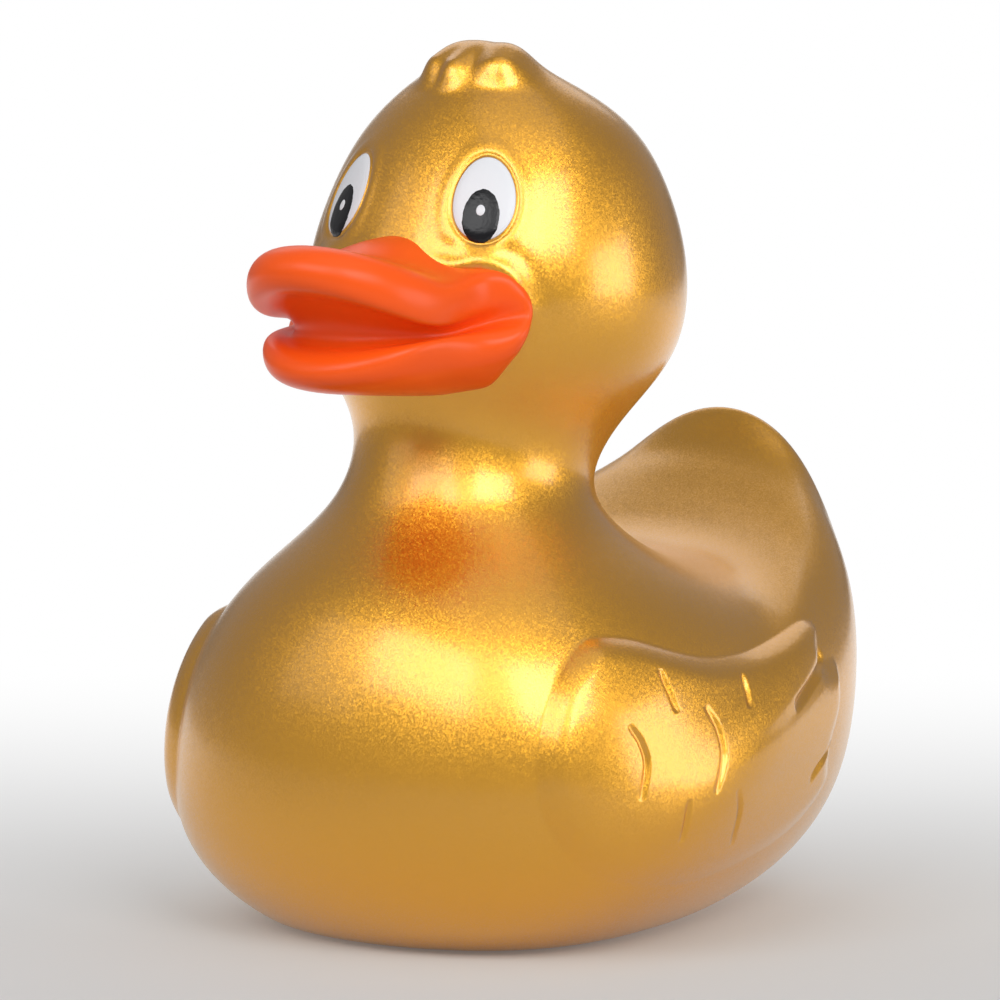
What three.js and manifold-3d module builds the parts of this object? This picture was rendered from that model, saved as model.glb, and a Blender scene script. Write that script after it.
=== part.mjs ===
import * as THREE from 'three';
import { ParametricGeometry } from 'three/addons/geometries/ParametricGeometry.js';
import { mergeVertices } from 'three/addons/utils/BufferGeometryUtils.js';
import Module from 'manifold-3d';

const wasm = await Module();
wasm.setup();

// Hollow bath duck, moulded in one piece in soft vinyl and then painted.
// Millimetres. The bill faces -Y, the tail is at +Y and the base stands on z = 0.

// Overall sizes
const WIDTH = 58;
const LENGTH = 74;
const HEIGHT = 82;

// Shell
const WALL = 2.2;
const BASE_EDGE = 1;
const VENT_DIAMETER = 3;

// Bill
const BILL_WIDTH = 33.6;
const BILL_REACH = 20;

// Relief on the skin
const WING_RELIEF = 1.1;
const EYE_WIDTH = 6;
const EYE_HEIGHT = 8.4;
const EYE_RELIEF = 0.3;
const RIM_WIDTH = 0.6;
const FEATHER_LINE = 1;
const CREST_WIDTH = 3.8;

// The pattern is drawn on a grid 58 wide, 74 long and 82 high.
// The three overall sizes stretch that grid.
const GRID = new THREE.Vector3(58, 74, 82);
const STRETCH = new THREE.Vector3(WIDTH, LENGTH, HEIGHT).divide(GRID);

// Rings of the body, from the crown down through the neck and back up to the tail.
// Each ring: front point y and z, back point y and z, half width,
// share of the way back where it is widest, roundness in front and behind.
const BODY_RINGS = [
  [-3.0, 82.4, -3.0, 82.4, 0, 0.5, 2, 2],
  [-7.0, 80.2, 2.6, 80.1, 5.9, 0.5, 2, 2],
  [-12.4, 74.6, 11.5, 75.9, 13.5, 0.5, 2, 2],
  [-16.6, 66.7, 15.6, 69.7, 17, 0.5, 2, 2],
  [-18.7, 59.8, 17.6, 61.7, 19.1, 0.5, 2, 2],
  [-17.2, 53.4, 17.2, 53.1, 17.8, 0.5, 2, 2],
  [-15.0, 48.4, 10.6, 46.9, 12.7, 0.5, 2, 2],
  [-15.9, 44.8, 6.6, 41.2, 11, 0.5, 2, 2],
  [-17.2, 40.4, 7.8, 37.8, 13.1, 0.5, 2, 2],
  [-20.9, 36.4, 11.2, 35.2, 17.1, 0.5, 2, 2],
  [-26.8, 30.6, 16.0, 33.9, 21.7, 0.46, 2.1, 2.1],
  [-30.4, 20.0, 20.2, 33.8, 26.5, 0.43, 2.2, 2.1],
  [-30.5, 9.5, 24.5, 35.1, 28.2, 0.42, 2.2, 2.1],
  [-26.9, 2.6, 27.2, 36.9, 30.6, 0.43, 2.3, 2.1],
  [-18.3, -3.0, 30.2, 39.0, 29.4, 0.44, 2.3, 2.1],
  [-3.4, -3.8, 32.5, 40.8, 28.1, 0.43, 2.3, 2.1],
  [12.3, -3.4, 34.6, 42.3, 25.7, 0.41, 2.2, 2.1],
  [27.6, -1.1, 36.0, 44.3, 20.7, 0.38, 2.2, 2.1],
  [35.5, 8.3, 37.5, 46.4, 16.1, 0.36, 2.1, 2.1],
  [38.6, 20.0, 38.3, 45.7, 12.1, 0.4, 2.1, 2.1],
  [39.4, 30.9, 38.9, 44.9, 8.1, 0.5, 2, 2],
  [39.8, 38.6, 39.4, 44.0, 4.6, 0.5, 2, 2],
  [39.8, 42.0, 39.8, 42.0, 0, 0.5, 2, 2],
];
const BODY_SEGMENTS = 16;

// Rings of the bill, from under the chin, over the lower lip, into the mouth,
// over the upper lip and up to the root on the forehead.
// Each ring: tip, side of the lip, mouth corner, cheek lobe, end inside the head.
const BILL_RINGS = [
  [[0, -16.7, 50.4], [5.8, -13.9, 50.8], [7.7, -12.2, 51.1], [6.5, -11.8, 51.3], [0, -6, 52]],
  [[0, -23.0, 50.9], [7.6, -17.8, 51.4], [9.8, -14.6, 51.6], [9.6, -13.0, 52.2], [0, -6, 53]],
  [[0, -27.8, 51.2], [8.5, -20.6, 52.7], [11.5, -16.1, 53.0], [12.6, -13.6, 53.6], [0, -6, 54]],
  [[0, -30.3, 52.4], [9.1, -21.6, 54.4], [11.9, -17.0, 54.4], [15.4, -14.0, 54.8], [0, -6, 56]],
  [[0, -29.9, 53.8], [10.2, -21.9, 57.3], [11.4, -17.0, 55.9], [16.4, -14.1, 56.2], [0, -6, 57]],
  [[0, -27.4, 55.2], [8.3, -20.9, 56.9], [10.4, -16.3, 57.0], [16.7, -14.1, 57.2], [0, -6, 57.6]],
  [[0, -26.9, 56.4], [6.2, -20.8, 55.1], [9.8, -15.9, 57.7], [16.8, -14.0, 58.0], [0, -6, 58]],
  [[0, -25.9, 59.8], [7.0, -20.2, 56.8], [9.8, -15.8, 58.2], [16.8, -13.9, 58.7], [0, -6, 58.4]],
  [[0, -28.1, 60.4], [8.1, -20.1, 57.6], [10.0, -16.0, 58.8], [16.6, -13.8, 59.4], [0, -6, 58.8]],
  [[0, -31.1, 60.9], [9.3, -21.2, 57.9], [10.0, -16.4, 59.6], [16.1, -13.7, 60.2], [0, -6, 59.2]],
  [[0, -33.1, 61.3], [9.9, -21.6, 58.2], [9.8, -16.6, 60.7], [15.2, -13.5, 61.0], [0, -6, 60]],
  [[0, -33.6, 63.9], [10.4, -21.0, 59.3], [9.6, -16.4, 61.9], [13.9, -13.3, 61.8], [0, -6, 61.2]],
  [[0, -30.3, 65.8], [9.5, -20.0, 60.6], [8.9, -15.8, 62.4], [12.0, -12.8, 62.3], [0, -6, 62]],
  [[0, -24.8, 63.2], [5.7, -18.7, 62.0], [7.5, -15.1, 62.5], [9.5, -12.3, 62.6], [0, -6, 63]],
  [[0, -20.5, 65.1], [3.4, -17.4, 64.2], [4.4, -14.5, 62.8], [6.8, -11.4, 62.8], [0, -6, 64]],
];
const BILL_ENDS = [[0, -8, 50], [0, -9, 65.5]];
const BILL_LOBE = 16.8;
const BILL_SEAT = -13.6;

// Places on the skin are given as ring number from the crown and sixteenths round from the front.
// The wing's outline: ring, sixteenth, how much of the relief is left at that edge.
const WING_OUTLINE = [
  [10.24, 3.01, 1], [10.36, 3.51, 1], [10.66, 3.95, 1], [11.12, 4.42, 1], [11.62, 4.86, 1],
  [12.28, 5.25, 1], [13.06, 5.49, 1], [13.8, 5.35, 1], [14.12, 4.99, 0.7], [14.82, 4.9, 0.8],
  [15.34, 4.48, 0.7], [15.44, 4.05, 0.5], [15.76, 3.61, 0.5], [15.38, 3.14, 0.35], [14.52, 2.83, 0.3],
  [13.54, 2.54, 0.3], [12.86, 2.27, 0.4], [12.24, 2.18, 0.7], [11.74, 2.16, 0.9], [11.2, 2.24, 1],
  [10.78, 2.42, 1], [10.44, 2.67, 1],
];
const WING_CENTRE = [12.3, 3.71];

// Feather lines pressed into the wing, each from end to end
const FEATHER_LINES = [
  [[10.9, 3.78], [11.2, 3.81], [11.52, 3.8]],
  [[11.92, 4.66], [12.2, 4.54], [12.5, 4.41]],
  [[11.32, 3.24], [11.78, 3.31], [12.28, 3.06]],
  [[11.72, 4.11], [12.42, 4.05], [13.06, 3.6]],
  [[12.64, 3.45], [12.98, 3.25], [13.4, 3.05]],
  [[13.42, 3.72], [13.84, 3.49], [14.32, 3.16]],
  [[14.38, 5.11], [13.9, 4.8], [13.6, 4.57]],
  [[15.56, 4.1], [15.26, 3.84], [15.1, 3.67]],
];

// Eye centre on the skin
const EYE_CENTRE = [2.8, 1.33];

// Crest lobes, each from its foot on the forehead to the top of the head
const CREST_LOBES = [
  [[1.2, -8.0, 79.2], [1.3, -5.0, 80.9], [1.2, -1.5, 81.6]],
  [[5.0, -5.6, 78.9], [4.0, -3.4, 80.2], [2.6, -0.6, 81.0]],
  [[-1.9, -7.4, 79.3], [-1.2, -5.0, 80.6], [-0.2, -1.5, 81.4]],
];

// Fold of skin that stands up round the root of the bill
const BILL_FOLD = [
  [12.4, -12.9, 55.4], [13.4, -12.3, 58.8], [12.2, -13.2, 61.6], [9.6, -14.9, 62.9],
  [6.6, -16.2, 63.0], [3.8, -17.3, 64.6], [0, -18.0, 66.3],
];

// Skins over a cage of rings
class Skin {
  constructor(rings) {
    this.rings = rings;
    this.segments = rings[0].length;
    this.last = rings.length - 1;
  }

  ringPoint(row, column) {
    let turn = column;
    let at = row;
    if (at < 0) {
      at = 1;
      turn += this.segments / 2;
    }
    if (at > this.last) {
      at = this.last - 1;
      turn += this.segments / 2;
    }
    return this.rings[at][(turn % this.segments + this.segments) % this.segments];
  }

  weights(t) {
    const s = 1 - t;
    return [
      s * s * s / 6,
      (3 * t * t * t - 6 * t * t + 4) / 6,
      (3 * s * s * s - 6 * s * s + 4) / 6,
      t * t * t / 6,
    ];
  }

  raw(ring, around, target) {
    const row = Math.min(Math.floor(ring), this.last - 1);
    const column = Math.floor(around);
    const byRow = this.weights(ring - row);
    const byColumn = this.weights(around - column);
    target.set(0, 0, 0);
    byRow.forEach((a, i) => {
      byColumn.forEach((b, j) => {
        target.addScaledVector(this.ringPoint(row - 1 + i, column - 1 + j), a * b);
      });
    });
    return target;
  }

  point(ring, around, target) {
    if (ring > 0 && ring < this.last) return this.raw(ring, around % this.segments, target);
    const one = new THREE.Vector3();
    target.set(0, 0, 0);
    for (let k = 0; k < this.segments; k++) target.add(this.raw(ring, k, one));
    return target.divideScalar(this.segments);
  }

  normal(ring, around, target) {
    const step = 0.02;
    const at = THREE.MathUtils.clamp(ring, 0.05, this.last - 0.05);
    const a = this.point(at - step, around, new THREE.Vector3());
    const b = this.point(at + step, around, new THREE.Vector3());
    const turn = around + this.segments;
    const c = this.point(at, turn - step, new THREE.Vector3());
    const d = this.point(at, turn + step, new THREE.Vector3());
    return target.crossVectors(b.sub(a), d.sub(c)).normalize();
  }
}

const onPattern = ([x, y, z]) => new THREE.Vector3(x, y, z).multiply(STRETCH);

// Body cage: each ring is a rounded oval between its front and back points
const bodyCage = BODY_RINGS.map(([frontY, frontZ, backY, backZ, halfWidth, widest, inFront, behind]) => {
  const front = onPattern([0, frontY, frontZ]);
  const back = onPattern([0, backY, backZ]);
  const middle = front.clone().lerp(back, widest);
  return Array.from({ length: BODY_SEGMENTS }, (_, k) => {
    const turn = 2 * Math.PI * k / BODY_SEGMENTS;
    const along = Math.cos(turn);
    const across = Math.sin(turn);
    const power = 2 / (along > 0 ? inFront : behind);
    const reach = Math.abs(along) ** power;
    const side = Math.sign(across) * Math.abs(across) ** power * halfWidth * STRETCH.x;
    return middle.clone().lerp(along > 0 ? front : back, reach).setX(side);
  });
});
const body = new Skin(bodyCage);

// Bill cage: the front of each ring is a quarter oval from tip to side, mirrored to the other side
const billScale = new THREE.Vector3(BILL_WIDTH / 2 / BILL_LOBE, BILL_REACH / 20 * STRETCH.y, STRETCH.z);
const onBill = ([x, y, z]) => {
  const seat = BILL_SEAT * STRETCH.y;
  return new THREE.Vector3(x * billScale.x, seat + (y - BILL_SEAT) * billScale.y, z * billScale.z);
};
const billRing = ([tip, side, corner, lobe, end]) => {
  const front = [0, 32, 62, 90].map((degrees) => {
    const turn = THREE.MathUtils.degToRad(degrees);
    const share = Math.cos(turn);
    return [
      side[0] * Math.sin(turn),
      side[1] + (tip[1] - side[1]) * share,
      side[2] + (tip[2] - side[2]) * share,
    ];
  });
  const half = [...front, corner, lobe].map(onBill);
  const mirrored = half.slice(1).reverse().map((p) => p.clone().setX(-p.x));
  return [...half, onBill(end), ...mirrored];
};
const billCage = BILL_RINGS.map(billRing);
const billColumns = billCage[0].length;
billCage.unshift(Array.from({ length: billColumns }, () => onBill(BILL_ENDS[0])));
billCage.push(Array.from({ length: billColumns }, () => onBill(BILL_ENDS[1])));
const bill = new Skin(billCage);

// Flat base with a rounded edge, level being the height of the flat
const flatten = (z, level, round) => {
  const over = z - level;
  if (over > round) return z;
  if (over < -round) return level;
  return level + (over + round) ** 2 / (4 * round);
};

// Closed mesh to solid
function solid(geometry) {
  geometry.deleteAttribute('normal');
  geometry.deleteAttribute('uv');
  const merged = mergeVertices(geometry, 1e-4);
  const place = merged.attributes.position;
  const index = merged.index.array;
  const triangles = [];
  let volume = 0;
  const p = new THREE.Vector3();
  const q = new THREE.Vector3();
  const r = new THREE.Vector3();
  for (let k = 0; k < index.length; k += 3) {
    const [a, b, c] = [index[k], index[k + 1], index[k + 2]];
    if (a === b || b === c || c === a) continue;
    triangles.push([a, b, c]);
    p.fromBufferAttribute(place, a);
    q.fromBufferAttribute(place, b);
    r.fromBufferAttribute(place, c);
    volume += p.dot(q.cross(r));
  }
  const outward = volume > 0 ? triangles : triangles.map(([a, b, c]) => [a, c, b]);
  return new wasm.Manifold(new wasm.Mesh({
    numProp: 3,
    vertProperties: Float32Array.from(place.array),
    triVerts: Uint32Array.from(outward.flat()),
  }));
}

// The whole skin, or the same skin moved in by the wall
function skinSolid(skin, columns, rows, shape) {
  const surface = (u, v, target) => shape(skin, v * skin.last, (u % 1) * skin.segments, target);
  return solid(new ParametricGeometry(surface, columns, rows));
}
const outerShape = (skin, ring, around, target) => {
  skin.point(ring, around, target);
  target.z = flatten(target.z, 0, BASE_EDGE);
};
const innerShape = (skin, ring, around, target) => {
  const pole = ring === 0 || ring === skin.last;
  const turns = pole ? Array.from({ length: skin.segments }, (_, k) => k) : [around];
  const sum = new THREE.Vector3();
  turns.forEach((turn) => {
    skin.point(ring, turn, target);
    sum.add(target.addScaledVector(skin.normal(ring, turn, new THREE.Vector3()), -WALL * INWARD));
  });
  target.copy(sum.divideScalar(turns.length));
  target.z = flatten(target.z, WALL, BASE_EDGE);
};

// The sign that makes a normal point out of the body
const probe = body.point(4, 4, new THREE.Vector3());
const INWARD = Math.sign(body.normal(4, 4, new THREE.Vector3()).dot(new THREE.Vector3(probe.x, 0, 0)));

// Raised plate on the skin inside an outline, with rounded edges and a sunk back
const PLATE_STEPS = [
  [0, 1], [0.3, 1], [0.55, 1], [0.76, 1], [0.9, 0.88], [0.97, 0.58], [1, -0.12], [0.8, -1], [0, -1],
];
const outlineLoop = (outline) => new THREE.CatmullRomCurve3(outline.map((p) => new THREE.Vector3(...p)), true);
const keptRelief = (edgeShare, reach) => THREE.MathUtils.lerp(1, edgeShare, THREE.MathUtils.smoothstep(reach, 0, 1));
function plate(outline, centre, relief, columns, mirror) {
  const loop = outlineLoop(outline);
  const edge = new THREE.Vector3();
  const away = new THREE.Vector3();
  const surface = (u, v, target) => {
    const [reach, lift] = PLATE_STEPS[Math.round(v * (PLATE_STEPS.length - 1))];
    loop.getPoint(u % 1, edge);
    const ring = THREE.MathUtils.lerp(centre[0], edge.x, reach);
    const turn = THREE.MathUtils.lerp(centre[1], edge.y, reach);
    const around = mirror ? BODY_SEGMENTS - turn : turn;
    const height = lift > 0 ? relief * lift * keptRelief(edge.z, reach) : lift;
    body.point(ring, around, target);
    target.addScaledVector(body.normal(ring, around, away), height * INWARD);
  };
  return solid(new ParametricGeometry(surface, columns, PLATE_STEPS.length - 1));
}

// Round rod along a line of points that tapers to a point at both ends
function rod(points, width, along, sides, closed = false) {
  const line = new THREE.CatmullRomCurve3(points, closed);
  const frames = line.computeFrenetFrames(along, closed);
  const surface = (u, v, target) => {
    const k = Math.round(v * along);
    const turn = 2 * Math.PI * (u % 1);
    const thick = closed ? 1 : Math.sqrt(Math.max(0, Math.sin(Math.PI * v)));
    const radius = k === 0 || k === along ? (closed ? width / 2 : 0) : thick * width / 2;
    line.getPointAt(closed && k === along ? 0 : v, target);
    const frame = closed && k === along ? 0 : k;
    target.addScaledVector(frames.normals[frame], Math.cos(turn) * radius);
    target.addScaledVector(frames.binormals[frame], Math.sin(turn) * radius);
  };
  return solid(new ParametricGeometry(surface, sides, along));
}

// A point on the skin raised by a height
const raised = ([ring, turn], height, mirror) => {
  const around = mirror ? BODY_SEGMENTS - turn : turn;
  const away = body.normal(ring, around, new THREE.Vector3());
  return body.point(ring, around, new THREE.Vector3()).addScaledVector(away, height * INWARD);
};

// Height of the wing's face at a place inside its outline
const wingEdge = outlineLoop(WING_OUTLINE).getPoints(200);
const wingFace = ([ring, turn]) => {
  const place = new THREE.Vector2(ring - WING_CENTRE[0], turn - WING_CENTRE[1]);
  const wayTo = (p) => new THREE.Vector2(p.x - WING_CENTRE[0], p.y - WING_CENTRE[1]);
  const off = (p) => Math.abs(wayTo(p).angle() - place.angle());
  const edge = wingEdge.reduce((best, p) => (off(p) < off(best) ? p : best));
  const reach = Math.min(1, place.length() / wayTo(edge).length());
  const steps = PLATE_STEPS.filter(([, lift]) => lift > -0.5);
  const next = Math.max(1, steps.findIndex(([share]) => share >= reach));
  const [[fromReach, fromLift], [toReach, toLift]] = [steps[next - 1], steps[next]];
  const lift = THREE.MathUtils.mapLinear(reach, fromReach, toReach, fromLift, toLift);
  return WING_RELIEF * Math.max(0, lift) * keptRelief(edge.z, reach);
};

// Eye outline round its centre, measured on the skin
const eyeReach = (step) => {
  const here = raised(EYE_CENTRE, 0, false);
  const there = raised([EYE_CENTRE[0] + step[0], EYE_CENTRE[1] + step[1]], 0, false);
  return here.distanceTo(there) / Math.hypot(...step);
};
const eyeRing = EYE_HEIGHT / 2 / eyeReach([0.3, 0]);
const eyeTurn = EYE_WIDTH / 2 / eyeReach([0, 0.3]);
const EYE_OUTLINE = Array.from({ length: 16 }, (_, k) => {
  const turn = 2 * Math.PI * k / 16;
  return [EYE_CENTRE[0] - eyeRing * Math.cos(turn), EYE_CENTRE[1] + eyeTurn * Math.sin(turn), 1];
});

// Outer form
let duck = skinSolid(body, 40, 44, outerShape);
duck = duck.add(skinSolid(bill, 30, 32, (skin, ring, around, target) => skin.point(ring, around, target)));
CREST_LOBES.forEach((lobe) => {
  duck = duck.add(rod(lobe.map(onPattern), CREST_WIDTH, 8, 9));
});
[false, true].forEach((mirror) => {
  duck = duck.add(plate(WING_OUTLINE, WING_CENTRE, WING_RELIEF, 40, mirror));
  duck = duck.add(plate(EYE_OUTLINE, EYE_CENTRE, EYE_RELIEF, 16, mirror));
  const fold = BILL_FOLD.map(onPattern).map((p) => (mirror ? p.setX(-p.x) : p));
  duck = duck.add(rod(fold, 2, 12, 7));
});

// Pressed lines: feather marks and the rim round each eye
[false, true].forEach((mirror) => {
  FEATHER_LINES.forEach((line) => {
    duck = duck.subtract(rod(line.map((p) => raised(p, wingFace(p), mirror)), FEATHER_LINE, 6, 5));
  });
  const rim = EYE_OUTLINE.map((p) => raised(p, 0.1, mirror));
  duck = duck.subtract(rod(rim, RIM_WIDTH, 24, 4, true));
});

// Hollow inside and the vent in the base
duck = duck.subtract(skinSolid(body, 24, 22, innerShape));
const vent = new THREE.CylinderGeometry(VENT_DIAMETER / 2, VENT_DIAMETER / 2, WALL * 3, 20);
vent.rotateX(Math.PI / 2);
duck = duck.subtract(solid(vent));

// Painted vinyl skin
const result = duck.getMesh();
const geometry = new THREE.BufferGeometry();
geometry.setAttribute('position', new THREE.Float32BufferAttribute(result.vertProperties, 3));
geometry.setIndex(new THREE.Uint32BufferAttribute(result.triVerts, 1));
geometry.computeBoundingBox();
const box = geometry.boundingBox;
geometry.translate(-(box.min.x + box.max.x) / 2, -(box.min.y + box.max.y) / 2, -box.min.z);
geometry.computeVertexNormals();
const goldPaint = new THREE.MeshStandardMaterial({ color: 0xc8962e, metalness: 0.75, roughness: 0.36 });

const duckShell = new THREE.Mesh(geometry, goldPaint);
duckShell.name = 'duck';

const object = new THREE.Group();
object.add(duckShell);

export default object;
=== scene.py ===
import math

import bpy
import numpy as np
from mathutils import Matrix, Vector


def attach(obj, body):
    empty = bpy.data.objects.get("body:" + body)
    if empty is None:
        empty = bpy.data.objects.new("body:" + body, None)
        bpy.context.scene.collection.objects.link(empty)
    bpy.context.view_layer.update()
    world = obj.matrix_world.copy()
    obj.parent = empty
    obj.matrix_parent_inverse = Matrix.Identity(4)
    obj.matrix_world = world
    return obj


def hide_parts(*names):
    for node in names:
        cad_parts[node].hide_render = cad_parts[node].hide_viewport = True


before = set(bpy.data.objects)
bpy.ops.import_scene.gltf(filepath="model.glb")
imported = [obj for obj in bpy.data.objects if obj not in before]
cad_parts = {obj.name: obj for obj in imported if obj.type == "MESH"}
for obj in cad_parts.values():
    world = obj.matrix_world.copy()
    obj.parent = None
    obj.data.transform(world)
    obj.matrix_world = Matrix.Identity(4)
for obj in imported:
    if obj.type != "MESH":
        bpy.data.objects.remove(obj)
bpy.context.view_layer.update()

# Bath duck, one hollow vinyl moulding with painted bill and eyes. Metres; bill towards -Y.
MM = 0.001
# The sizes below are measured from the vent, which lies this far in front of the duck's middle
FRAME_SHIFT = -3.59

# Rings of the body from the crown down the neck and back up to the tail, in millimetres:
# front y and z, back y and z, half width, share of the way back where widest, roundness
BODY_RINGS = [
    (-3.0, 82.4, -3.0, 82.4, 0, 0.5, 2, 2),
    (-7.0, 80.2, 2.6, 80.1, 5.9, 0.5, 2, 2),
    (-12.4, 74.6, 11.5, 75.9, 13.5, 0.5, 2, 2),
    (-16.6, 66.7, 15.6, 69.7, 17, 0.5, 2, 2),
    (-18.7, 59.8, 17.6, 61.7, 19.1, 0.5, 2, 2),
    (-17.2, 53.4, 17.2, 53.1, 17.8, 0.5, 2, 2),
    (-15.0, 48.4, 10.6, 46.9, 12.7, 0.5, 2, 2),
    (-15.9, 44.8, 6.6, 41.2, 11, 0.5, 2, 2),
    (-17.2, 40.4, 7.8, 37.8, 13.1, 0.5, 2, 2),
    (-20.9, 36.4, 11.2, 35.2, 17.1, 0.5, 2, 2),
    (-26.8, 30.6, 16.0, 33.9, 21.7, 0.46, 2.1, 2.1),
    (-30.4, 20.0, 20.2, 33.8, 26.5, 0.43, 2.2, 2.1),
    (-30.5, 9.5, 24.5, 35.1, 28.2, 0.42, 2.2, 2.1),
    (-26.9, 2.6, 27.2, 36.9, 30.6, 0.43, 2.3, 2.1),
    (-18.3, -3.0, 30.2, 39.0, 29.4, 0.44, 2.3, 2.1),
    (-3.4, -3.8, 32.5, 40.8, 28.1, 0.43, 2.3, 2.1),
    (12.3, -3.4, 34.6, 42.3, 25.7, 0.41, 2.2, 2.1),
    (27.6, -1.1, 36.0, 44.3, 20.7, 0.38, 2.2, 2.1),
    (35.5, 8.3, 37.5, 46.4, 16.1, 0.36, 2.1, 2.1),
    (38.6, 20.0, 38.3, 45.7, 12.1, 0.4, 2.1, 2.1),
    (39.4, 30.9, 38.9, 44.9, 8.1, 0.5, 2, 2),
    (39.8, 38.6, 39.4, 44.0, 4.6, 0.5, 2, 2),
    (39.8, 42.0, 39.8, 42.0, 0, 0.5, 2, 2),
]
BODY_SEGMENTS = 16

# Rings of the bill from under the chin, over the lower lip, into the mouth and over the upper lip
# to the root on the forehead: tip, side of the lip, mouth corner, cheek lobe, end in the head,
# and how steeply the height runs down from the tip
BILL_RINGS = [
    ((-16.7, 50.4), (5.8, -13.9, 50.8), (7.7, -12.2, 51.1), (6.5, -11.8, 51.3), (-6, 52), 1),
    ((-23.0, 50.9), (7.6, -17.8, 51.4), (9.8, -14.6, 51.6), (9.6, -13.0, 52.2), (-6, 53), 1),
    ((-27.8, 51.2), (8.5, -20.6, 52.7), (11.3, -16.1, 53.0), (12.0, -13.6, 53.8), (-6, 54), 1),
    ((-30.3, 52.4), (9.3, -21.8, 54.2), (11.7, -17.0, 54.4), (14.8, -14.0, 55.1), (-6, 56), 1),
    ((-30.1, 54.0), (9.9, -21.9, 56.4), (11.2, -16.7, 56.1), (16.2, -14.1, 56.4), (-6, 57), 1.5),
    ((-28.3, 55.1), (9.4, -21.0, 56.7), (10.2, -15.6, 57.0), (16.7, -14.1, 57.3), (-6, 57.6), 2),
    ((-26.0, 55.2), (8.5, -19.5, 56.0), (9.4, -14.3, 57.3), (16.8, -14.0, 58.0), (-6, 58), 2),
    ((-25.6, 57.8), (8.3, -19.0, 56.7), (9.3, -13.7, 57.8), (16.8, -13.9, 58.7), (-6, 58.4), 1.5),
    ((-28.0, 60.2), (8.9, -20.1, 57.1), (9.3, -13.8, 58.6), (16.6, -13.8, 59.4), (-6, 58.8), 1.5),
    ((-31.3, 60.7), (9.8, -21.5, 56.9), (9.4, -14.2, 59.5), (16.1, -13.7, 60.2), (-6, 59.2), 1.5),
    ((-33.2, 61.4), (10.2, -21.8, 57.8), (9.3, -14.7, 60.6), (15.2, -13.5, 61.0), (-6, 60), 1.5),
    ((-33.6, 63.9), (10.4, -21.0, 59.6), (9.3, -15.4, 61.9), (13.9, -13.3, 61.8), (-6, 61.2), 1),
    ((-30.3, 65.8), (9.4, -20.0, 60.9), (8.9, -15.8, 62.5), (12.0, -12.8, 62.3), (-6, 62), 1),
    ((-24.8, 63.2), (5.7, -18.7, 62.0), (7.5, -15.1, 62.5), (9.5, -12.3, 62.6), (-6, 63), 1),
    ((-20.5, 65.1), (3.4, -17.4, 64.2), (4.4, -14.5, 62.8), (6.8, -11.4, 62.8), (-6, 64), 1),
]
BILL_ENDS = ((0, -8, 50), (0, -9, 65.5))

# Places on the skin: ring number from the crown, sixteenths round from the front.
# Wing outline, with the share of the relief left at that edge
WING_OUTLINE = [
    (10.24, 3.01, 1), (10.36, 3.51, 1), (10.66, 3.95, 1), (11.12, 4.42, 1), (11.62, 4.86, 1),
    (12.28, 5.25, 1), (13.06, 5.49, 1), (13.8, 5.35, 1), (14.12, 4.99, 0.7), (14.82, 4.9, 0.8),
    (15.34, 4.48, 0.7), (15.44, 4.05, 0.5), (15.76, 3.61, 0.5), (15.38, 3.14, 0.35), (14.52, 2.83, 0.3),
    (13.54, 2.54, 0.3), (12.86, 2.27, 0.4), (12.24, 2.18, 0.7), (11.74, 2.16, 0.9), (11.2, 2.24, 1),
    (10.78, 2.42, 1), (10.44, 2.67, 1),
]
WING_CENTRE = (12.3, 3.71)
# Height of the wing's face over the body, and width of its rounded edge
WING_RELIEF = 1.1
WING_EDGE = 3.0

# Feather lines pressed into the wing: points, half width, depth
FEATHER_LINES = [
    ([(10.89, 3.7), (11.15, 3.72), (11.48, 3.72)], 0.42, 0.36),
    ([(11.84, 4.59), (12.12, 4.5), (12.41, 4.37)], 0.42, 0.36),
    ([(11.3, 3.17), (11.55, 3.24), (11.84, 3.22), (12.23, 3.03)], 0.4, 0.36),
    ([(11.67, 4.04), (12.09, 4.03), (12.47, 3.92), (12.7, 3.77), (12.91, 3.57)], 0.45, 0.4),
    ([(12.67, 3.38), (12.93, 3.23), (13.18, 3.07)], 0.4, 0.26),
    ([(13.19, 3.72), (13.6, 3.56), (14.1, 3.23)], 0.4, 0.26),
    ([(14.2, 5.06), (13.75, 4.8), (13.4, 4.57)], 0.9, 0.6),
    ([(15.35, 4.09), (15.15, 3.95), (15.0, 3.8)], 0.7, 0.4),
]

# Half height of the rounding where the sides meet the flat base
BASE_EDGE = 1.0
VENT_DIAMETER = 3
VENT_CUT = 8

EYE_CENTRE = (2.8, 1.33)
EYE_HEIGHT = 8.5
EYE_WIDTH = 5.85
EYE_FACE = 0.08
# Line pressed in round the eye, and the raised rim outside it: height, half width, way out
EYE_LINE = (-0.12, 0.17, 0.22)
EYE_RIM = (0.1, 0.7, 1.0)

# Paint of the eye: how thick it is, and how deep its lower face is sunk into the skin
EYE_WHITE_LIFT = 0.07
PAINT_SINK = 0.25
# Centre, half extents in rings and turns, and thickness
PUPIL = ((2.99, 1.3), (0.345, 0.3), 0.13)
PUPIL_RAGGED = 0.008
EYE_LIGHT = ((2.94, 1.29), (0.082, 0.082), 0.17)

# Crest lobes: half width, foot on the forehead and far end on top of the head
CREST_RELIEF = 1.75
CREST_SPREAD = 1.2
CREST_LOBES = [
    (1.7, (-2.5, -8.0, 78.6), (-0.2, 0.8, 81.9)),
    (1.4, (0.0, -8.6, 78.4), (0.5, 0.8, 81.9)),
    (2.1, (4.6, -7.0, 78.6), (1.0, 0.8, 81.9)),
]

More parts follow.
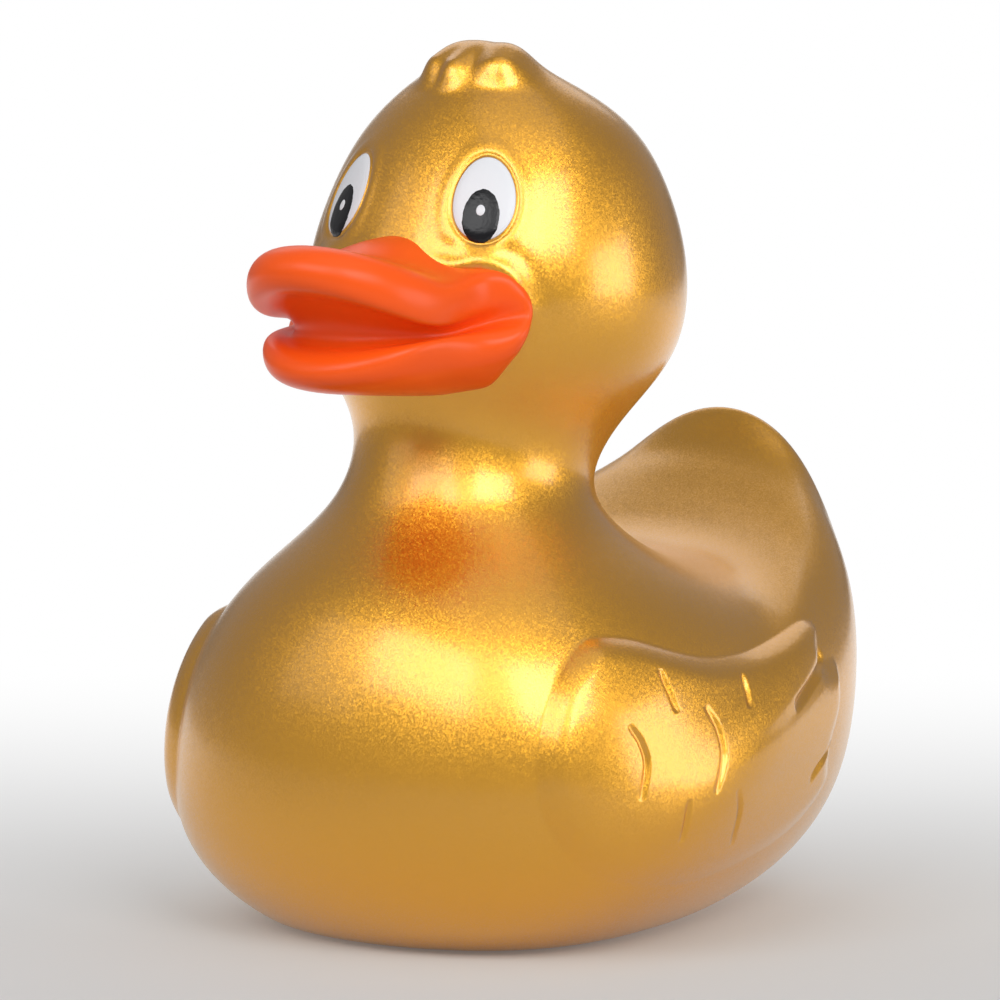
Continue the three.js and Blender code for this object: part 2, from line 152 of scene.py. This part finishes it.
# Fold of skin that stands up round the root of the bill, with a shallow dip beside it
FOLD_RELIEF, FOLD_HALF = 0.36, 0.8
DIP_DEPTH, DIP_HALF, DIP_AWAY = 0.08, 0.7, 1.9
BILL_FOLD = [
    (11.9, -12.7, 55.5), (12.5, -12.7, 58.0), (12.2, -13.2, 59.8), (11.3, -13.7, 61.6), (9.9, -14.4, 62.6),
    (8.4, -15.2, 62.9), (6.5, -16.2, 62.6), (4.4, -16.7, 63.0), (2.0, -16.8, 64.4), (0, -17.0, 65.6),
]


# Smooth form over a cage of rings

def body_cage():
    """Rounded ovals, each between a front and a back point of the middle plane."""
    cage = np.zeros((len(BODY_RINGS), BODY_SEGMENTS, 3))
    turn = np.arange(BODY_SEGMENTS) / BODY_SEGMENTS * 2 * math.pi
    along, across = np.cos(turn), np.sin(turn)
    for row, (fy, fz, by, bz, half, widest, front_power, back_power) in enumerate(BODY_RINGS):
        front, back = np.array([0, fy, fz]), np.array([0, by, bz])
        middle = front + (back - front) * widest
        power = 2 / np.where(along > 0, front_power, back_power)
        reach = (np.abs(along) ** power)[:, None]
        end = np.where((along > 0)[:, None], front, back)
        cage[row] = middle + (end - middle) * reach
        cage[row, :, 0] = np.sign(across) * np.abs(across) ** power * half
    return cage


def bill_cage():
    """Each ring is a quarter oval from tip to side, then corner, lobe and root, the same both sides."""
    rows = []
    for tip, side, corner, lobe, end, steep in BILL_RINGS:
        half = []
        for degrees in (0, 32, 62, 90):
            a = math.radians(degrees)
            half.append((
                side[0] * math.sin(a),
                side[1] + (tip[0] - side[1]) * math.cos(a),
                side[2] + (tip[1] - side[2]) * math.cos(a) ** steep,
            ))
        half += [corner, lobe]
        mirrored = [(-x, y, z) for x, y, z in reversed(half[1:])]
        rows.append(half + [(0, end[0], end[1])] + mirrored)
    columns = len(rows[0])
    return np.array([[BILL_ENDS[0]] * columns] + rows + [[BILL_ENDS[1]] * columns], float)


def weights(t):
    """Shares of the four rings or columns round a place t of the way from the second to the third."""
    s = 1 - t
    before, after = s ** 3 / 6, t ** 3 / 6
    here, following = (3 * t ** 3 - 6 * t ** 2 + 4) / 6, (3 * s ** 3 - 6 * s ** 2 + 4) / 6
    return np.stack([before, here, following, after], -1)


class Form:
    """The smooth closed surface that a cage of rings rounds off to."""

    def __init__(self, cage):
        self.last = len(cage) - 1
        self.segments = cage.shape[1]
        half = self.segments // 2
        before = np.roll(cage[1], half, axis=0)[None]
        after = np.roll(cage[-2], half, axis=0)[None]
        self.rows = np.concatenate([before, cage, after, after])

    def raw(self, ring, turn):
        """Each point is a weighted middle of the sixteen cage points round it."""
        row = np.clip(np.floor(ring).astype(int), 0, self.last - 1)
        column = np.floor(turn).astype(int)
        by_row, by_column = weights(ring - row), weights(turn - column)
        out = np.zeros(ring.shape + (3,))
        for i in range(4):
            for j in range(4):
                point = self.rows[row + i, (column - 1 + j) % self.segments]
                out += point * (by_row[..., i] * by_column[..., j])[..., None]
        return out

    def point(self, ring, turn):
        """Point of the surface, with one shared point at either end of the rings."""
        ring, turn = np.asarray(ring, float), np.asarray(turn, float)
        out = self.raw(ring, turn)
        for pole in (0.0, float(self.last)):
            at = np.abs(ring - pole) < 1e-6
            if at.any():
                every = np.arange(self.segments, dtype=float)
                out[at] = self.raw(np.full(self.segments, pole), every).mean(0)
        return out

    def normal(self, ring, turn):
        """Direction straight out of the surface."""
        step = 0.01
        at = np.clip(ring, 0.03, self.last - 0.03)
        down = self.raw(at + step, turn) - self.raw(at - step, turn)
        round_ = self.raw(at, turn + step) - self.raw(at, turn - step)
        n = np.cross(down, round_)
        return n / np.linalg.norm(n, axis=-1, keepdims=True)


body_form = Form(body_cage())
bill_form = Form(bill_cage())


def smooth_line(points, per_part=24):
    """Points closely along a rounded line through the given ones."""
    p = np.array(points, float)
    p = np.vstack([2 * p[0] - p[1], p, 2 * p[-1] - p[-2]])
    out = []
    for k in range(1, len(p) - 2):
        for t in np.linspace(0, 1, per_part, endpoint=False):
            a, b, c, d = p[k - 1:k + 3]
            square, cube = 2 * a - 5 * b + 4 * c - d, 3 * b - a - 3 * c + d
            out.append(0.5 * (2 * b + (c - a) * t + square * t ** 2 + cube * t ** 3))
    out.append(p[-2])
    return np.array(out)


def smooth_loop(points, per_part=24):
    """Points closely along a rounded closed line through the given ones."""
    p = [points[-1], *points, points[0], points[1]]
    return smooth_line(p, per_part)[per_part:-per_part - 1]


def smoothstep(a, b, x):
    """0 below a, 1 above b and a soft rise between them."""
    t = np.clip((x - a) / (b - a), 0, 1)
    return t * t * (3 - 2 * t)


def nearest(points, line):
    """Distance from each point to a line of points, and how far along it the nearest lies (0 to 1)."""
    best = np.full(len(points), 1e9)
    at = np.zeros(len(points))
    for k in range(len(line) - 1):
        a, d = line[k], line[k + 1] - line[k]
        t = np.clip((points - a) @ d / max(d @ d, 1e-12), 0, 1)
        gap = np.linalg.norm(points - a - t[:, None] * d, axis=1)
        closer = gap < best
        best[closer] = gap[closer]
        at[closer] = (k + t[closer]) / (len(line) - 1)
    return best, at


def on_left_side(points):
    """The same points with those of the right side mirrored onto the left."""
    return np.stack([np.abs(points[:, 0]), points[:, 1], points[:, 2]], -1)


# Relief of the skin, in millimetres outwards

wing_loop = smooth_loop(WING_OUTLINE, 12)
wing_edge = body_form.point(wing_loop[:, 0], wing_loop[:, 1])
wing_closed = np.vstack([wing_edge, wing_edge[:1]])


def wing_relief(ring, turn, base):
    """Wing face: full height inside the outline, rounded at its edge, fading out underneath."""
    away = np.stack([ring, turn], -1) - WING_CENTRE
    round_ = np.arctan2(away[:, 1], away[:, 0])
    rim = wing_loop[:, :2] - WING_CENTRE
    rim_round = np.arctan2(rim[:, 1], rim[:, 0])
    order = np.argsort(rim_round)
    rim_reach = np.linalg.norm(rim, axis=1)[order]
    kept = wing_loop[order, 2]
    angles = rim_round[order]
    reach = np.linalg.norm(away, axis=1) / np.interp(round_, angles, rim_reach, period=2 * math.pi)
    share = np.clip(np.interp(round_, angles, kept, period=2 * math.pi), 0, 1)
    gap, _ = nearest(base, wing_closed)
    edge = np.clip(gap / WING_EDGE, 0, 1)
    rounded = np.sin(edge * math.pi / 2)
    left = 1 - smoothstep(0.0, 1.0, reach) * (1 - share)
    return np.where(reach < 1, WING_RELIEF * left * rounded, 0)


feather_paths = [
    (body_form.point(*smooth_line(line, 8).T), width, depth) for line, width, depth in FEATHER_LINES
]


def feather_relief(base):
    """Feather lines, each tapered to nothing at both ends."""
    out = np.zeros(len(base))
    for line, width, depth in feather_paths:
        gap, at = nearest(base, line)
        taper = np.sqrt(np.clip(np.sin(math.pi * np.clip(at, 0, 1)), 0, 1))
        across = np.clip(gap / width, 0, 1)
        out = np.minimum(out, -depth * taper * (1 - across ** 2) ** 2)
    return out


eye_middle = body_form.point(*np.array(EYE_CENTRE, float)[:, None])[0]


def eye_scale():
    """Ring and turn steps that make the eye's half height and half width."""
    step = 0.3
    up = body_form.point(np.array([EYE_CENTRE[0] - step]), np.array([EYE_CENTRE[1]]))[0]
    out = body_form.point(np.array([EYE_CENTRE[0]]), np.array([EYE_CENTRE[1] + step]))[0]
    ring = EYE_HEIGHT / 2 * step / np.linalg.norm(up - eye_middle)
    turn = EYE_WIDTH / 2 * step / np.linalg.norm(out - eye_middle)
    return ring, turn


EYE_RING, EYE_TURN = eye_scale()


def eye_relief(ring, turn):
    """Eye face a little proud, a thin line pressed in round it and a soft raised rim outside that."""
    r = np.hypot((ring - EYE_CENTRE[0]) / EYE_RING, (turn - EYE_CENTRE[1]) / EYE_TURN)
    gap = (r - 1) * (EYE_HEIGHT + EYE_WIDTH) / 4
    relief = EYE_FACE * (1 - smoothstep(-0.7, 0.1, gap))
    for height, half, way_out in (EYE_LINE, EYE_RIM):
        relief += height * np.exp(-((gap - way_out) / half) ** 2)
    return relief


def crest_relief(base):
    """Three soft lobes that run together on top of the head."""
    total = np.zeros(len(base))
    for width, foot, end in CREST_LOBES:
        foot, axis = np.array(foot), np.array(end) - np.array(foot)
        at = (base - foot) @ axis / (axis @ axis)
        gap = np.linalg.norm(base - foot - at[:, None] * axis, axis=1)
        across = gap / (width + CREST_SPREAD * np.clip(at, 0, 1))
        rise = smoothstep(-0.08, 0.24, at) * (1 - smoothstep(0.4, 1.05, at))
        total += (CREST_RELIEF * rise * np.exp(-across ** 2)) ** 4
    return total ** 0.25


fold_path = smooth_line(BILL_FOLD, 8)


def fold_relief(base):
    """Strong at the cheek, fading out towards the middle of the forehead."""
    gap, at = nearest(base, fold_path)
    strength = smoothstep(0, 0.25, at) * (1 - smoothstep(0.6, 1, at))
    ridge = FOLD_RELIEF * np.exp(-(gap / FOLD_HALF) ** 2)
    dip = DIP_DEPTH * np.exp(-((gap - DIP_AWAY) / DIP_HALF) ** 2)
    return strength * (ridge - dip)


def skin(ring, turn, lift=0.0):
    """Finished skin: the smooth form with its relief, standing on the flat base."""
    turn = np.mod(turn, BODY_SEGMENTS)
    base = body_form.point(ring, turn)
    out = body_form.normal(ring, turn)
    left = np.minimum(turn, BODY_SEGMENTS - turn)
    on_left = on_left_side(base)
    relief = np.zeros(len(base))
    # Each relief is worked out only in the part of the skin that it can reach
    near_wing = (ring > 9.6) & (ring < 16.4) & (left > 1.8) & (left < 6)
    if near_wing.any():
        relief[near_wing] += wing_relief(ring[near_wing], left[near_wing], on_left[near_wing])
        relief[near_wing] += feather_relief(on_left[near_wing])
    near_eye = (ring > 1.4) & (ring < 4.4) & (left < 3.2)
    if near_eye.any():
        relief[near_eye] += eye_relief(ring[near_eye], left[near_eye])
        relief[near_eye] += fold_relief(on_left[near_eye])
    near_fold = (ring >= 4.4) & (ring < 6) & (left < 3.2)
    if near_fold.any():
        relief[near_fold] += fold_relief(on_left[near_fold])
    near_crest = ring < 2.2
    if near_crest.any():
        relief[near_crest] += crest_relief(base[near_crest])
    point = base + out * (relief + lift)[:, None]
    over = point[:, 2]
    rounded = np.where(over < -BASE_EDGE, 0, (over + BASE_EDGE) ** 2 / (4 * BASE_EDGE))
    point[:, 2] = np.where(over > BASE_EDGE, over, rounded)
    return point


def to_frame(points):
    """From millimetres round the vent to metres round the middle of the base."""
    return (points + [0, FRAME_SHIFT, 0]) * MM


# Mesh helpers

def select_none():
    if bpy.context.mode != "OBJECT":
        bpy.ops.object.mode_set(mode="OBJECT")
    bpy.ops.object.select_all(action="DESELECT")


def use(obj):
    select_none()
    obj.select_set(True)
    bpy.context.view_layer.objects.active = obj


def apply_modifier(obj, kind, **values):
    use(obj)
    mod = obj.modifiers.new(kind.title(), kind)
    for key, value in values.items():
        setattr(mod, key, value)
    bpy.ops.object.modifier_apply(modifier=mod.name)


def round_off(obj):
    apply_modifier(obj, "SUBSURF", levels=3, render_levels=3, uv_smooth="NONE")


def vertex_places(obj):
    co = np.empty(len(obj.data.vertices) * 3)
    obj.data.vertices.foreach_get("co", co)
    return co.reshape(-1, 3)


def set_vertex_places(obj, co):
    obj.data.vertices.foreach_set("co", np.ascontiguousarray(co).ravel())
    obj.data.update()


def add_cage(name, cage):
    """A ball with one row of points for each ring, moved onto the cage, its UV map being turn and ring."""
    rows, columns, _ = cage.shape
    select_none()
    bpy.ops.mesh.primitive_uv_sphere_add(segments=columns, ring_count=rows - 1, radius=1)
    obj = bpy.context.object
    obj.name = obj.data.name = name
    co = vertex_places(obj)
    row = np.rint(np.arccos(np.clip(co[:, 2], -1, 1)) / math.pi * (rows - 1)).astype(int)
    column = np.rint(np.arctan2(co[:, 0], -co[:, 1]) / (2 * math.pi) * columns).astype(int) % columns
    set_vertex_places(obj, cage[row, column] * MM)
    uv = obj.data.uv_layers.active.data
    for face in obj.data.polygons:
        rings = [row[v] for v in face.vertices]
        turns = [column[v] for v in face.vertices]
        inner = [t for r, t in zip(rings, turns) if 0 < r < rows - 1]
        if max(inner) - min(inner) > columns / 2:
            turns = [t + columns if t < columns / 2 else t for t in turns]
            inner = [t + columns if t < columns / 2 else t for t in inner]
        middle = sum(inner) / len(inner)
        for loop, r, t in zip(face.loop_indices, rings, turns):
            uv[loop].uv = ((t if 0 < r < rows - 1 else middle) / columns, 1 - r / (rows - 1))
    return obj


def ring_and_turn(obj, rows, columns):
    """Ring and turn of each point, read back from the UV map."""
    mesh = obj.data
    uv = np.empty(len(mesh.loops) * 2)
    mesh.uv_layers.active.data.foreach_get("uv", uv)
    uv = uv.reshape(-1, 2)
    vertex = np.empty(len(mesh.loops), int)
    mesh.loops.foreach_get("vertex_index", vertex)
    count = np.bincount(vertex, minlength=len(mesh.vertices))
    ring = np.bincount(vertex, (1 - uv[:, 1]) * (rows - 1), len(mesh.vertices)) / count
    angle = uv[:, 0] * 2 * math.pi
    c = np.bincount(vertex, np.cos(angle), len(mesh.vertices))
    s = np.bincount(vertex, np.sin(angle), len(mesh.vertices))
    turn = np.mod(np.arctan2(s, c) / (2 * math.pi) * columns, columns)
    ring = np.where(ring < 1e-4, 0, np.where(ring > rows - 1 - 1e-4, rows - 1, ring))
    return ring, turn


def refine(obj, wanted):
    """Subdivides the faces whose middles are wanted once in edit mode."""
    mesh = obj.data
    use(obj)
    centre = np.empty(len(mesh.polygons) * 3)
    mesh.polygons.foreach_get("center", centre)
    chosen = wanted(centre.reshape(-1, 3) / MM)
    mesh.vertices.foreach_set("select", np.zeros(len(mesh.vertices), bool))
    mesh.edges.foreach_set("select", np.zeros(len(mesh.edges), bool))
    mesh.polygons.foreach_set("select", chosen)
    bpy.ops.object.mode_set(mode="EDIT")
    bpy.ops.mesh.select_mode(type="FACE")
    bpy.ops.mesh.subdivide(number_cuts=1, smoothness=0)
    bpy.ops.object.mode_set(mode="OBJECT")


def near(points, lines, reach):
    """Which points lie within reach of any of the lines."""
    out = np.zeros(len(points), bool)
    for line in lines:
        gap, _ = nearest(points, line)
        out |= gap < reach
    return out


def finish_piece(obj, material):
    """Gives the piece its one material and smooth shading, and hangs it on the duck's body."""
    obj.data.materials.clear()
    obj.data.materials.append(material)
    use(obj)
    bpy.ops.object.shade_smooth()
    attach(obj, "root")


# Pieces

def model_skin(material):
    """The gold moulding: body, neck, head, tail, wings, crest and eye rims."""
    obj = add_cage("skin", body_cage())
    round_off(obj)

    eye_out = body_form.point(*np.stack([
        EYE_CENTRE[0] + EYE_RING * np.cos(np.linspace(0, 2 * math.pi, 40)),
        EYE_CENTRE[1] + EYE_TURN * np.sin(np.linspace(0, 2 * math.pi, 40)),
    ]))
    crest_lines = [np.array([foot, end]) for width, foot, end in CREST_LOBES]
    feather_lines = [line for line, width, depth in feather_paths]

    # Stretches that need more faces than the rest, each finer one inside the one before
    def broad(p):
        q = on_left_side(p)
        wing = (q[:, 1] > -26) & (q[:, 1] < 20) & (q[:, 2] > 5) & (q[:, 2] < 33) & (q[:, 0] > 17)
        face = (q[:, 1] < -4) & (q[:, 2] > 50)
        return wing | face | near(p, crest_lines, 5.0)

    def fine(p):
        q = on_left_side(p)
        edges = near(q, [wing_closed, eye_out, fold_path], 2.6)
        return edges | near(p, crest_lines, 3.8) | near(q, feather_lines, 1.9)

    def finest(p):
        q = on_left_side(p)
        return near(q, feather_lines, 1.1) | near(q, [eye_out], 0.9)

    refine(obj, broad)
    refine(obj, fine)
    refine(obj, finest)
    ring, turn = ring_and_turn(obj, len(BODY_RINGS), BODY_SEGMENTS)
    set_vertex_places(obj, to_frame(skin(ring, turn)))
    cut_vent(obj)
    finish_piece(obj, material)
    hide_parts("duck")


def cut_vent(obj):
    """Small vent in the middle of the base."""
    select_none()
    bpy.ops.mesh.primitive_cylinder_add(
        vertices=48, radius=VENT_DIAMETER / 2 * MM, depth=VENT_CUT * MM, location=(0, FRAME_SHIFT * MM, 0),
    )
    cutter = bpy.context.object
    apply_modifier(obj, "BOOLEAN", operation="DIFFERENCE", object=cutter, solver="MANIFOLD")
    bpy.data.objects.remove(cutter)


def model_bill(material):
    """Upper and lower bill with the open mouth between them and a cheek lobe at each corner."""
    cage = bill_cage()
    obj = add_cage("bill", cage)
    round_off(obj)
    ring, turn = ring_and_turn(obj, len(cage), cage.shape[1])
    set_vertex_places(obj, to_frame(bill_form.point(ring, turn)))
    finish_piece(obj, material)


def painted_oval(name, centre, half, lift, mirror, material, slot, ragged=0.0):
    """Thin oval of paint lying on the skin: a ball pressed flat and laid round the head."""
    select_none()
    bpy.ops.mesh.primitive_uv_sphere_add(segments=72, ring_count=24, radius=1)
    obj = bpy.context.object
    obj.name = obj.data.name = name
    co = vertex_places(obj)
    angle = np.arctan2(co[:, 1], co[:, 0])
    rough = 1 + ragged * (np.sin(angle * 9 + 1) + np.sin(angle * 17) * 0.7 + np.sin(angle * 31 + 2) * 0.5)
    reach = np.clip(np.hypot(co[:, 0], co[:, 1]), 0, 1)
    spread = np.where(co[:, 2] > 0, reach, reach * 0.97) * rough
    ring = centre[0] - spread * np.sin(angle) * half[0]
    turn = centre[1] + spread * np.cos(angle) * half[1]
    if mirror:
        turn = BODY_SEGMENTS - turn
    # The upper face lies on the skin with thin edges, and the lower face is sunk into it
    height = np.where(co[:, 2] > -0.01, lift * (1 - reach ** 6), -PAINT_SINK * np.clip(-co[:, 2] * 3, 0, 1))
    set_vertex_places(obj, to_frame(skin(ring, turn, height)))
    use(obj)
    bpy.ops.object.mode_set(mode="EDIT")
    bpy.ops.mesh.select_all(action="SELECT")
    bpy.ops.mesh.normals_make_consistent(inside=False)
    bpy.ops.object.mode_set(mode="OBJECT")
    finish_piece(obj, material)


def model_eyes(white, black):
    """White oval, pupil and light dot of each eye."""
    eye = (EYE_CENTRE, (EYE_RING, EYE_TURN), EYE_WHITE_LIFT)
    for side, mirror in (("left", False), ("right", True)):
        painted_oval(f"eye_white_{side}", *eye, mirror, white, "eye_white")
        painted_oval(f"pupil_{side}", *PUPIL, mirror, black, "eye_black", PUPIL_RAGGED)
        painted_oval(f"eye_light_{side}", *EYE_LIGHT, mirror, white, "eye_white")


# Finishes

def group_socket(group, name, kind, way, value=None):
    """Adds one named input or output to a node group."""
    socket = group.interface.new_socket(name=name, in_out=way, socket_type=kind)
    if value is not None:
        socket.default_value = value


def flake_group():
    """Tiny metal flakes that each tilt their own way. Puts out the tilted normal."""
    group = bpy.data.node_groups.new("paint flakes", "ShaderNodeTree")
    group_socket(group, "Scale", "NodeSocketFloat", "INPUT", 5000)
    group_socket(group, "Tilt", "NodeSocketFloat", "INPUT", 0.2)
    group_socket(group, "Normal", "NodeSocketVector", "OUTPUT")
    nodes, links = group.nodes, group.links
    enter, leave = nodes.new("NodeGroupInput"), nodes.new("NodeGroupOutput")
    place = nodes.new("ShaderNodeTexCoord")
    cells = nodes.new("ShaderNodeTexVoronoi")
    links.new(place.outputs["Object"], cells.inputs["Vector"])
    links.new(enter.outputs["Scale"], cells.inputs["Scale"])
    centred = nodes.new("ShaderNodeVectorMath")
    centred.operation = "SUBTRACT"
    centred.inputs[1].default_value = (0.5, 0.5, 0.5)
    links.new(cells.outputs["Color"], centred.inputs[0])
    tilted = nodes.new("ShaderNodeVectorMath")
    tilted.operation = "SCALE"
    links.new(centred.outputs[0], tilted.inputs[0])
    links.new(enter.outputs["Tilt"], tilted.inputs["Scale"])
    surface = nodes.new("ShaderNodeNewGeometry")
    total = nodes.new("ShaderNodeVectorMath")
    total.operation = "ADD"
    links.new(surface.outputs["Normal"], total.inputs[0])
    links.new(tilted.outputs[0], total.inputs[1])
    unit = nodes.new("ShaderNodeVectorMath")
    unit.operation = "NORMALIZE"
    links.new(total.outputs[0], unit.inputs[0])
    links.new(unit.outputs[0], leave.inputs["Normal"])
    return group


def plain_material(name, colour, roughness, coat=0.0, metallic=0.0):
    """One plain material, with its node tree and shader to add to."""
    material = bpy.data.materials.new(name)
    material.use_nodes = True
    shader = material.node_tree.nodes["Principled BSDF"]
    shader.inputs["Base Color"].default_value = (*colour, 1)
    shader.inputs["Roughness"].default_value = roughness
    shader.inputs["Metallic"].default_value = metallic
    shader.inputs["Coat Weight"].default_value = coat
    return material, material.node_tree, shader


def gold_paint():
    """Metallic paint with fine flakes under a thin clear coat."""
    material, tree, shader = plain_material("gold paint", (0.86, 0.41, 0.025), 0.4, coat=1.0, metallic=1.0)
    flakes = tree.nodes.new("ShaderNodeGroup")
    flakes.node_tree = flake_group()
    flakes.inputs["Scale"].default_value = 8500
    flakes.inputs["Tilt"].default_value = 0.2
    shader.inputs["Coat Roughness"].default_value = 0.21
    shader.inputs["Coat IOR"].default_value = 1.6
    tree.links.new(flakes.outputs["Normal"], shader.inputs["Normal"])
    return material


def orange_paint():
    """Satin orange with a weak shine."""
    material, _, shader = plain_material("orange paint", (0.92, 0.1, 0.007), 0.32)
    shader.inputs["Specular IOR Level"].default_value = 0.28
    return material


def eye_white_paint():
    material, _, _ = plain_material("eye white", (0.72, 0.73, 0.76), 0.35)
    return material


def eye_black_paint():
    """Gloss black laid on a little unevenly."""
    material, tree, shader = plain_material("eye black", (0.006, 0.006, 0.008), 0.25)
    shader.inputs["Specular IOR Level"].default_value = 0.36
    place = tree.nodes.new("ShaderNodeTexCoord")
    grain = tree.nodes.new("ShaderNodeTexNoise")
    grain.inputs["Scale"].default_value = 2600
    bump = tree.nodes.new("ShaderNodeBump")
    bump.inputs["Strength"].default_value = 0.35
    bump.inputs["Distance"].default_value = 0.0001
    tree.links.new(place.outputs["Object"], grain.inputs["Vector"])
    tree.links.new(grain.outputs[0], bump.inputs["Height"])
    tree.links.new(bump.outputs["Normal"], shader.inputs["Normal"])
    return material


# Floor, light and camera

CAMERA_AZIMUTH, CAMERA_ELEVATION = math.radians(36), math.radians(6)
CAMERA_DISTANCE = 0.52
CAMERA_LENS = 198.4
AIM = Vector((0, FRAME_SHIFT * MM, 0.0394))
LAMP_DISTANCE = 0.6
LAMP_AIM = Vector((0, 0, 0.04))

# Level directions straight behind the duck, as the camera looks, and to its side
BEHIND = (-math.sin(CAMERA_AZIMUTH), math.cos(CAMERA_AZIMUTH), 0)
SIDEWAYS = (BEHIND[1], -BEHIND[0], 0)
# Where the white strip starts and is full behind the duck, and is full and ends sideways
WHITE_START, WHITE_FULL = -0.07, 0.17
STRIP_FULL, STRIP_END = 0.28, 0.8
FLOOR_SIZE = 6
BACKDROP_AWAY, BACKDROP_WIDTH, BACKDROP_HEIGHT = 2.2, 3, 0.4


def stage_material():
    """Pale paper; the strip behind the duck is white to the camera and in reflections."""
    material, tree, shader = plain_material("pale paper", (0.64, 0.64, 0.64), 0.9)
    place = tree.nodes.new("ShaderNodeTexCoord")
    rays = tree.nodes.new("ShaderNodeLightPath")

    def combined(operation, a, b=None):
        node = tree.nodes.new("ShaderNodeMath")
        node.operation = operation
        for socket, value in zip(node.inputs, (a, b)):
            if value is not None:
                tree.links.new(value, socket)
        return node.outputs[0]

    def distance_along(direction):
        node = tree.nodes.new("ShaderNodeVectorMath")
        node.operation = "DOT_PRODUCT"
        node.inputs[1].default_value = direction
        tree.links.new(place.outputs["Object"], node.inputs[0])
        return node.outputs["Value"]

    def fade(value, start, end, first, last):
        node = tree.nodes.new("ShaderNodeMapRange")
        node.interpolation_type = "SMOOTHSTEP"
        settings = {"From Min": start, "From Max": end, "To Min": first, "To Max": last}
        for name, setting in settings.items():
            node.inputs[name].default_value = setting
        tree.links.new(value, node.inputs["Value"])
        return node.outputs["Result"]

    backwards = fade(distance_along(BEHIND), WHITE_START, WHITE_FULL, 0.0, 1.0)
    sideways = combined("ABSOLUTE", distance_along(SIDEWAYS))
    strip = combined("MULTIPLY", backwards, fade(sideways, STRIP_FULL, STRIP_END, 1.0, 0.0))
    seen = combined("MAXIMUM", rays.outputs["Is Camera Ray"], rays.outputs["Is Glossy Ray"])
    seen = combined("MAXIMUM", seen, rays.outputs["Is Transmission Ray"])
    white = tree.nodes.new("ShaderNodeEmission")
    mix = tree.nodes.new("ShaderNodeMixShader")
    tree.links.new(combined("MULTIPLY", seen, strip), mix.inputs[0])
    tree.links.new(shader.outputs[0], mix.inputs[1])
    tree.links.new(white.outputs[0], mix.inputs[2])
    tree.links.new(mix.outputs[0], tree.nodes["Material Output"].inputs["Surface"])
    return material


def build_stage():
    """Floor, and a low backdrop far behind that hides the horizon from the camera."""
    paper = stage_material()
    select_none()
    bpy.ops.mesh.primitive_plane_add(size=FLOOR_SIZE, location=(0, 0, 0))
    floor = bpy.context.object
    floor.name = "floor"
    select_none()
    bpy.ops.mesh.primitive_plane_add(size=1, location=(0, 0, 0))
    backdrop = bpy.context.object
    backdrop.name = "backdrop"
    flat = vertex_places(backdrop)
    foot, side = Vector(BEHIND) * BACKDROP_AWAY, Vector(SIDEWAYS) * BACKDROP_WIDTH
    up = Vector((0, 0, BACKDROP_HEIGHT))
    stood = [foot + side * x + up * (y + 0.5) for x, y, z in flat]
    set_vertex_places(backdrop, np.array(stood))
    for obj in (floor, backdrop):
        obj.data.materials.append(paper)


def softbox(name, azimuth, elevation, size, power):
    """Rectangular lamp aimed at the duck. Azimuth 0 is in front of the bill, 90 on the duck's left."""
    a, e = math.radians(azimuth), math.radians(elevation)
    away = Vector((math.sin(a) * math.cos(e), -math.cos(a) * math.cos(e), math.sin(e)))
    lamp = bpy.data.lights.new(name, "AREA")
    lamp.shape = "RECTANGLE"
    lamp.size, lamp.size_y = size
    lamp.energy = power
    obj = bpy.data.objects.new(name, lamp)
    bpy.context.scene.collection.objects.link(obj)
    obj.location = LAMP_AIM + away * LAMP_DISTANCE
    obj.rotation_euler = (-away).to_track_quat("-Z", "Y").to_euler()


def build_light():
    """Even pale room with two broad front lamps, fill between them and weaker lamps all round."""
    world = bpy.data.worlds.new("studio")
    world.use_nodes = True
    world.node_tree.nodes["Background"].inputs["Color"].default_value = (1, 1, 1, 1)
    world.node_tree.nodes["Background"].inputs["Strength"].default_value = 0.29
    bpy.context.scene.world = world
    softbox("left front", -2, 37, (0.4, 0.26), 1.05)
    softbox("middle front", 36, 40, (0.4, 0.28), 0.42)
    softbox("right front", 61, 37, (0.34, 0.26), 1.15)
    softbox("right side", 106, 10, (0.34, 0.26), 0.8)
    softbox("far left", -38, 28, (0.3, 0.3), 0.18)
    softbox("overhead", 60, 78, (0.5, 0.4), 0.25)
    softbox("behind", 216, 38, (0.5, 0.3), 0.32)


def build_camera():
    """Long lens, a little above the duck and to the front of its left side."""
    back = Vector((
        math.sin(CAMERA_AZIMUTH) * math.cos(CAMERA_ELEVATION),
        -math.cos(CAMERA_AZIMUTH) * math.cos(CAMERA_ELEVATION),
        math.sin(CAMERA_ELEVATION),
    ))
    camera = bpy.data.cameras.new("camera")
    camera.sensor_width = 36
    camera.lens = CAMERA_LENS
    camera.clip_start = 0.01
    obj = bpy.data.objects.new("camera", camera)
    bpy.context.scene.collection.objects.link(obj)
    obj.location = AIM + back * CAMERA_DISTANCE
    obj.rotation_euler = (-back).to_track_quat("-Z", "Y").to_euler()
    bpy.context.scene.camera = obj


gold = gold_paint()
orange = orange_paint()
eye_white = eye_white_paint()
eye_black = eye_black_paint()
model_skin(gold)
model_bill(orange)
model_eyes(eye_white, eye_black)
build_stage()
build_light()
build_camera()
bpy.context.scene.view_settings.view_transform = "Standard"
